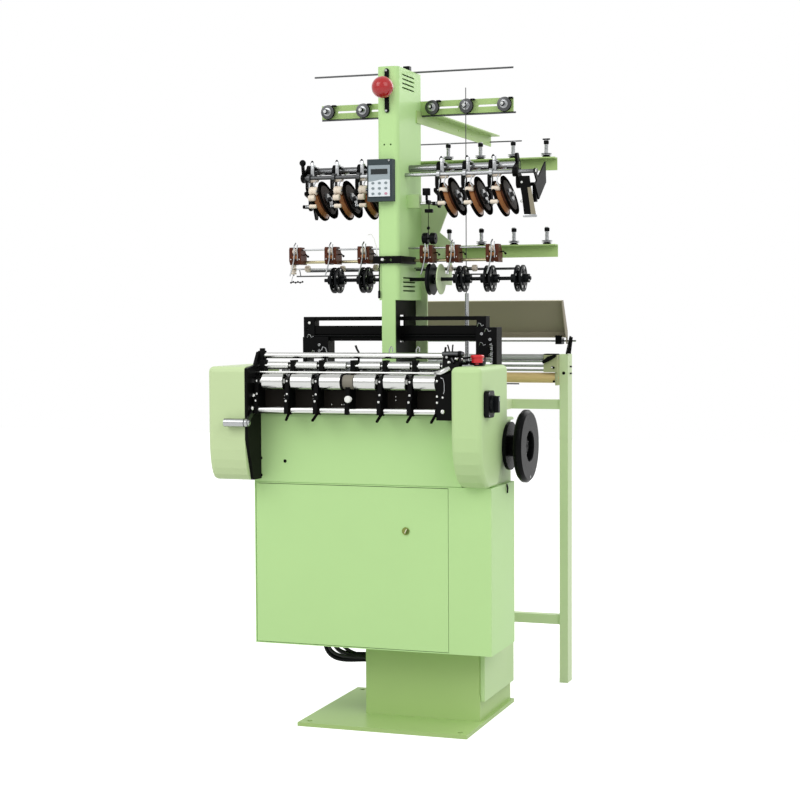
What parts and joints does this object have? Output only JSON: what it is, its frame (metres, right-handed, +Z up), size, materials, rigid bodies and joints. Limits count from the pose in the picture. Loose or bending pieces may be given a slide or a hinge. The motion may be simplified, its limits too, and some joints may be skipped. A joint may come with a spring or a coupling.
{
  "type": "narrow fabric loom",
  "caption": "Free-standing narrow fabric loom: cabinet on a pedestal, weaving heads with chrome take-up rollers, a column with weft feeders, and a rear yarn frame.",
  "frame": {"origin": "centre of the floor plate's underside, on the floor", "axes": "+X to the machine's right as seen by the weaver in front of it, +Y towards the rear yarn frame, +Z up"},
  "size_m": [0.995, 1.3881, 2.12],
  "materials": {
    "green_body": "satin",
    "green_cover": "satin",
    "cream_cover": "satin",
    "lock_brass": "satin",
    "black_parts": "satin",
    "black_cast": "satin",
    "black_gloss": "gloss",
    "black_plastic": "satin",
    "red_plastic": "gloss",
    "chrome_parts": "polished",
    "dark_steel": "satin",
    "steel_parts": "satin",
    "grey_plastic": "satin",
    "brown_wheel": "satin",
    "brown_block": "satin",
    "aluminium_parts": "satin",
    "olive_tray": "satin",
    "grey_roller": "satin",
    "wood_roller": "satin",
    "cable_rubber": "satin",
    "belt_rubber": "matte",
    "motor_grey": "satin"
  },
  "bodies": {
    "frame": {"base_plate": "green_body", "pedestal": "green_body", "pedestal_cover": "green_cover", "cabinet": "green_body", "machine_bed": "green_body", "front_panel": "green_body", "right_housing": "green_cover", "gear_cover": "cream_cover", "side_plate": "black_parts", "control_bases": "black_plastic", "takeup_frame": "black_parts", "takeup_bars": "chrome_parts", "column": "green_body", "column_web": "black_parts", "rear_strut": "green_body", "column_arms": "green_body", "guide_rods": "steel_parts", "thread_tensioners": "steel_parts", "keypad": "grey_plastic", "signal_ball": "red_plastic", "feeder_rods": "steel_parts", "feeder_arms": "black_parts", "rod_clamp": "black_parts", "weft_blocks": "brown_block", "harness_side_left": "black_cast", "harness_side_right": "black_cast", "harness_beams": "black_parts", "heald_guides": "dark_steel", "rear_leg_left": "green_body", "rear_leg_right": "green_body", "rear_cross_bars": "green_body", "rear_side_rails": "green_body", "rear_tray": "olive_tray", "rear_roller_brackets": "green_cover", "rear_rods": "steel_parts", "cable_loop": "cable_rubber", "motor": "motor_grey", "drive_belt": "belt_rubber"},
    "front_door": {"front_door": "green_body"},
    "door_lock": {"door_lock": "lock_brass"},
    "handwheel": {"handwheel": "black_gloss"},
    "rotary_switch": {"rotary_switch": "black_plastic"},
    "stop_button": {"stop_button": "red_plastic"},
    "takeup_rollers": {"takeup_rollers": "chrome_parts"},
    "guide_rollers": {"guide_rollers": "chrome_parts"},
    "release_lever": {"release_shaft": "dark_steel"},
    "feeder_drive": {"feeder_drive_shaft": "steel_parts"},
    "feed_wheel_1": {"feed_wheel_1": "brown_wheel"},
    "feed_wheel_2": {"feed_wheel_2": "brown_wheel"},
    "feed_wheel_3": {"feed_wheel_3": "brown_wheel"},
    "feed_wheel_4": {"feed_wheel_4": "brown_wheel"},
    "feed_wheel_5": {"feed_wheel_5": "brown_wheel"},
    "feed_wheel_6": {"feed_wheel_6": "brown_wheel"},
    "weft_wheels": {"weft_wheels": "black_plastic"},
    "heald_frames_even": {"heald_frames_even": "aluminium_parts"},
    "heald_frames_odd": {"heald_frames_odd": "aluminium_parts"},
    "reed_batten": {"reed_batten": "steel_parts"},
    "rear_roller": {"rear_roller": "grey_roller"},
    "wooden_roller": {"wooden_roller": "wood_roller"},
    "motor_pulley": {"motor_pulley": "dark_steel"}
  },
  "joints": [
    {"name": "door_hinge", "type": "hinge", "parent": "frame", "child": "front_door", "pos_m": [-0.444, -0.1955, 0.505], "axis": [0, 0, 1], "range_deg": [-90, 0]},
    {"name": "door_lock_turn", "type": "hinge", "parent": "front_door", "child": "door_lock", "pos_m": [0.062, -0.195, 0.624], "axis": [0, 1, 0], "range_deg": [0, 90]},
    {"name": "main_shaft_turn", "type": "hinge", "parent": "frame", "child": "handwheel", "pos_m": [0.3, -0.01, 0.883], "axis": [1, 0, 0], "continuous": true},
    {"name": "motor_turn", "type": "hinge", "parent": "frame", "child": "motor_pulley", "pos_m": [0.2, -0.06, 0.34], "axis": [1, 0, 0], "continuous": true},
    {"name": "takeup_turn", "type": "hinge", "parent": "frame", "child": "takeup_rollers", "pos_m": [0, -0.25, 1.09], "axis": [1, 0, 0], "continuous": true},
    {"name": "guide_rollers_turn", "type": "hinge", "parent": "frame", "child": "guide_rollers", "pos_m": [0, -0.213, 1.139], "axis": [1, 0, 0], "continuous": true},
    {"name": "release_lever_turn", "type": "hinge", "parent": "frame", "child": "release_lever", "pos_m": [0, -0.262, 1.001], "axis": [1, 0, 0], "range_deg": [-60, 0]},
    {"name": "rotary_switch_turn", "type": "hinge", "parent": "frame", "child": "rotary_switch", "pos_m": [0.35, -0.25, 1.027], "axis": [1, 0, 0], "range_deg": [0, 90]},
    {"name": "stop_button_press", "type": "slide", "parent": "frame", "child": "stop_button", "axis": [0, 0, -1], "range_m": [0, 0.006], "stiffness_N_per_m": 700, "springref_m": -0.001},
    {"name": "feeder_drive_turn", "type": "hinge", "parent": "frame", "child": "feeder_drive", "pos_m": [0, 0.07, 1.752], "axis": [1, 0, 0], "continuous": true},
    {"name": "feed_wheel_1_turn", "type": "hinge", "parent": "frame", "child": "feed_wheel_1", "pos_m": [-0.334, 0.115, 1.675], "axis": [0.9397, 0, 0.342], "continuous": true},
    {"name": "feed_wheel_2_turn", "type": "hinge", "parent": "frame", "child": "feed_wheel_2", "pos_m": [-0.246, 0.115, 1.675], "axis": [0.9397, 0, 0.342], "continuous": true},
    {"name": "feed_wheel_3_turn", "type": "hinge", "parent": "frame", "child": "feed_wheel_3", "pos_m": [-0.158, 0.115, 1.675], "axis": [0.9397, 0, 0.342], "continuous": true},
    {"name": "feed_wheel_4_turn", "type": "hinge", "parent": "frame", "child": "feed_wheel_4", "pos_m": [0.118, 0.115, 1.675], "axis": [0.9397, 0, 0.342], "continuous": true},
    {"name": "feed_wheel_5_turn", "type": "hinge", "parent": "frame", "child": "feed_wheel_5", "pos_m": [0.206, 0.115, 1.675], "axis": [0.9397, 0, 0.342], "continuous": true},
    {"name": "feed_wheel_6_turn", "type": "hinge", "parent": "frame", "child": "feed_wheel_6", "pos_m": [0.294, 0.115, 1.675], "axis": [0.9397, 0, 0.342], "continuous": true},
    {"name": "weft_shaft_turn", "type": "hinge", "parent": "frame", "child": "weft_wheels", "pos_m": [0, 0.115, 1.414], "axis": [1, 0, 0], "continuous": true},
    {"name": "heald_even_slide", "type": "slide", "parent": "frame", "child": "heald_frames_even", "axis": [0, 0, 1], "range_m": [-0.018, 0.018]},
    {"name": "heald_odd_slide", "type": "slide", "parent": "frame", "child": "heald_frames_odd", "axis": [0, 0, 1], "range_m": [-0.018, 0.018]},
    {"name": "reed_swing", "type": "hinge", "parent": "frame", "child": "reed_batten", "pos_m": [0, -0.126, 1.024], "axis": [1, 0, 0], "range_deg": [-6, 6]},
    {"name": "rear_roller_turn", "type": "hinge", "parent": "frame", "child": "rear_roller", "pos_m": [0.075, 0.598, 1.146], "axis": [1, 0, 0], "continuous": true},
    {"name": "wooden_roller_turn", "type": "hinge", "parent": "frame", "child": "wooden_roller", "pos_m": [0.075, 0.598, 1.076], "axis": [1, 0, 0], "continuous": true}
  ],
  "couplings": [
    {"joint": "motor_turn", "follows": "main_shaft_turn", "ratio": 1.7143},
    {"joint": "feeder_drive_turn", "follows": "main_shaft_turn", "ratio": 0.5},
    {"joint": "weft_shaft_turn", "follows": "main_shaft_turn", "ratio": 0.25},
    {"joint": "takeup_turn", "follows": "main_shaft_turn", "ratio": 0.05},
    {"joint": "heald_odd_slide", "follows": "heald_even_slide", "ratio": -1},
    {"joint": "feed_wheel_1_turn", "follows": "main_shaft_turn", "ratio": 0.1},
    {"joint": "feed_wheel_2_turn", "follows": "main_shaft_turn", "ratio": 0.1},
    {"joint": "feed_wheel_3_turn", "follows": "main_shaft_turn", "ratio": 0.1},
    {"joint": "feed_wheel_4_turn", "follows": "main_shaft_turn", "ratio": 0.1},
    {"joint": "feed_wheel_5_turn", "follows": "main_shaft_turn", "ratio": 0.1},
    {"joint": "feed_wheel_6_turn", "follows": "main_shaft_turn", "ratio": 0.1}
  ]
}
